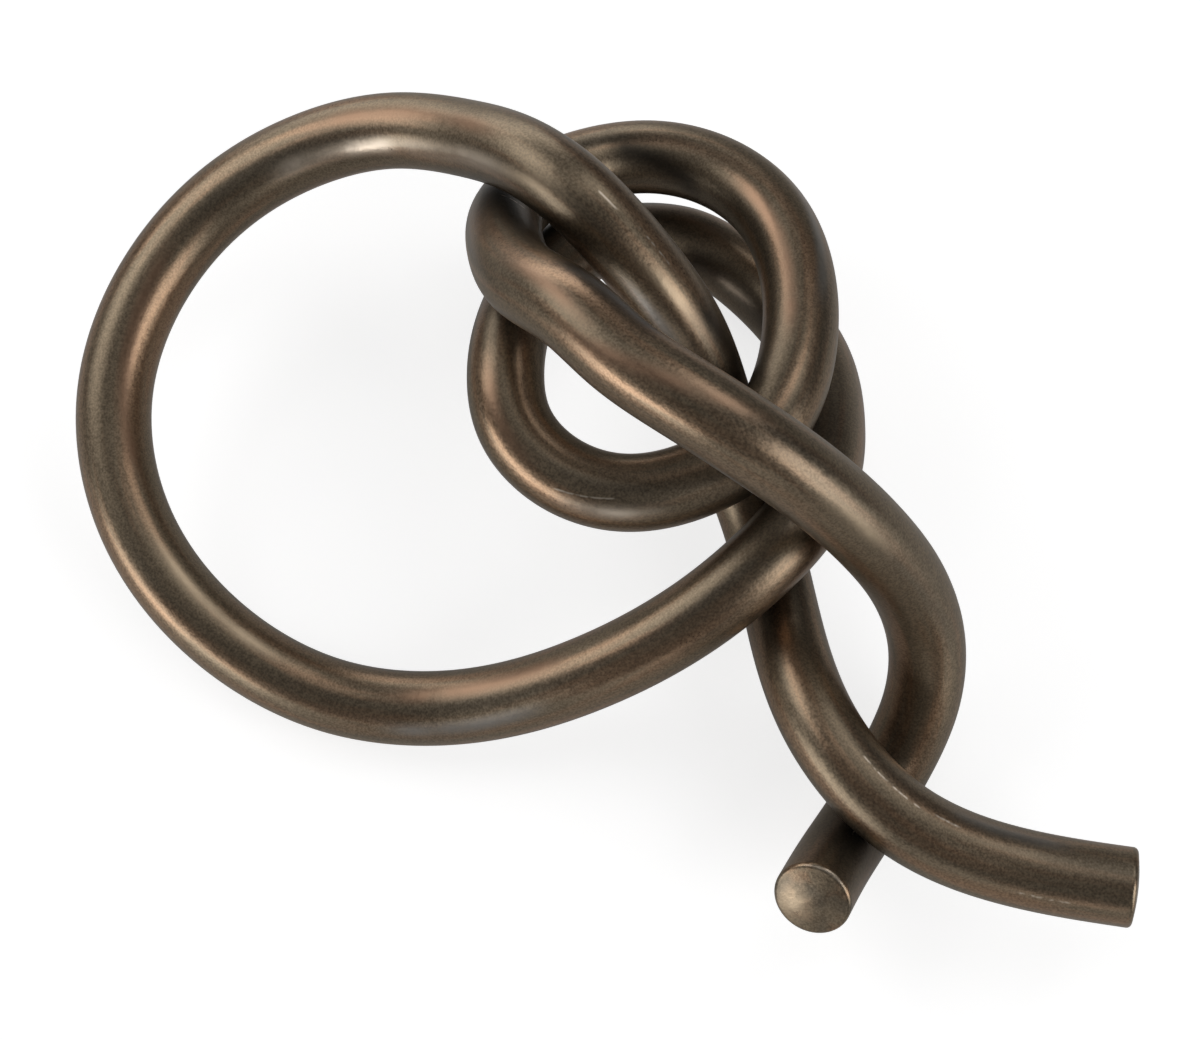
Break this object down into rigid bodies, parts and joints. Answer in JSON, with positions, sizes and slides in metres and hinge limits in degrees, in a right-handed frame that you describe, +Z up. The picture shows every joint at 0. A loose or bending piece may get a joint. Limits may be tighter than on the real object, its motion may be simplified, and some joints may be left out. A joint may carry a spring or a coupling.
{
  "type": "knot sculpture",
  "caption": "Free-standing knot of round metal tube: a great open loop laced through small rings, with both ends free and plugged.",
  "frame": {"origin": "centre of the footprint, on the table that the knot lies on", "axes": "+X along the knot's length, from the great loop towards the end of leg A; +Y from the free legs towards the rings; +Z up"},
  "size_m": [0.3526, 0.281, 0.1448],
  "materials": {
    "tube_patina": "satin, worn brown-bronze patina",
    "plug_patina": "satin, worn brown-bronze patina",
    "sleeve_metal": "bare, dull, inside the bores"
  },
  "bodies": {
    "root": {"leg_a_tube": "tube_patina", "great_loop_tube": "tube_patina", "back_arc_tube": "tube_patina", "lower_ring_tube": "tube_patina", "upper_ring_tube": "tube_patina", "front_sweep_tube": "tube_patina", "leg_b_tube": "tube_patina", "sleeve_leg_a_to_great_loop": "sleeve_metal", "sleeve_great_loop_to_back_arc": "sleeve_metal", "sleeve_back_arc_to_lower_ring": "sleeve_metal", "sleeve_lower_ring_to_upper_ring": "sleeve_metal", "sleeve_upper_ring_to_front_sweep": "sleeve_metal", "sleeve_front_sweep_to_leg_b": "sleeve_metal", "end_plug_a": "plug_patina", "end_plug_b": "plug_patina"}
  },
  "joints": []
}
